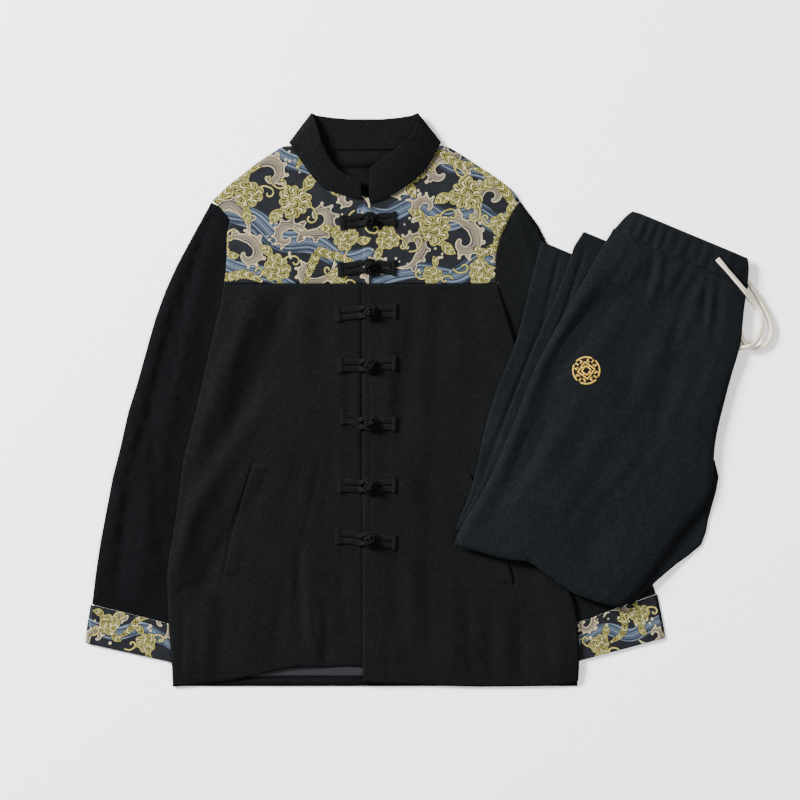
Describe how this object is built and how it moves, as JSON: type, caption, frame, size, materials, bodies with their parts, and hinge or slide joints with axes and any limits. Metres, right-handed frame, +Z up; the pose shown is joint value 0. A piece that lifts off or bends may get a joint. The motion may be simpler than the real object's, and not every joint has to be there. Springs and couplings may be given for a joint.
{
  "type": "hanfu set of a stand-collar jacket and drawstring trousers, laid flat",
  "caption": "Short stand-collar jacket with frog closures, printed yokes and cuffs, laid flat with folded drawstring trousers across one side.",
  "frame": {"origin": "on the table, under the middle of the outline of the cloth, the drawstring not counted", "axes": "+Z up off the table, +Y towards the collar, +X towards the trousers, the wearer's left"},
  "size_m": [0.9295, 0.7746, 0.0211],
  "materials": {
    "jacket_linen": "matt slubby linen and cotton weave, black",
    "trousers_linen": "matt linen and cotton weave, black with a cool tone",
    "printed_cotton": "smooth printed cotton, navy ground with blue, taupe and old gold",
    "lining_satin": "grey satin",
    "cotton_cord": "soft flat cotton cord, ecru",
    "gold_thread": "satin-stitch embroidery thread, gold"
  },
  "bodies": {
    "root": {"jacket_back": "jacket_linen", "jacket_back_lining": "lining_satin", "jacket_front_right": "jacket_linen", "jacket_front_left": "jacket_linen", "jacket_yoke_right": "printed_cotton", "jacket_yoke_left": "printed_cotton", "jacket_sleeve_right": "jacket_linen", "jacket_sleeve_left": "jacket_linen", "jacket_cuff_right": "printed_cotton", "jacket_cuff_left": "printed_cotton", "jacket_collar": "jacket_linen", "pocket_welt_right": "jacket_linen", "pocket_welt_left": "jacket_linen", "frog_loop_1": "jacket_linen", "frog_knot_1": "jacket_linen", "frog_loop_2": "jacket_linen", "frog_knot_2": "jacket_linen", "frog_loop_3": "jacket_linen", "frog_knot_3": "jacket_linen", "frog_loop_4": "jacket_linen", "frog_knot_4": "jacket_linen", "frog_loop_5": "jacket_linen", "frog_knot_5": "jacket_linen", "frog_loop_6": "jacket_linen", "frog_knot_6": "jacket_linen", "frog_loop_7": "jacket_linen", "frog_knot_7": "jacket_linen", "trousers_folded_layers": "trousers_linen", "trousers_left_lower_leg": "trousers_linen", "trousers_right_lower_leg": "trousers_linen", "trousers_left_leg": "trousers_linen", "trousers_right_front": "trousers_linen", "trousers_waistband": "trousers_linen", "drawstring_upper": "cotton_cord", "drawstring_lower": "cotton_cord"}
  },
  "joints": []
}
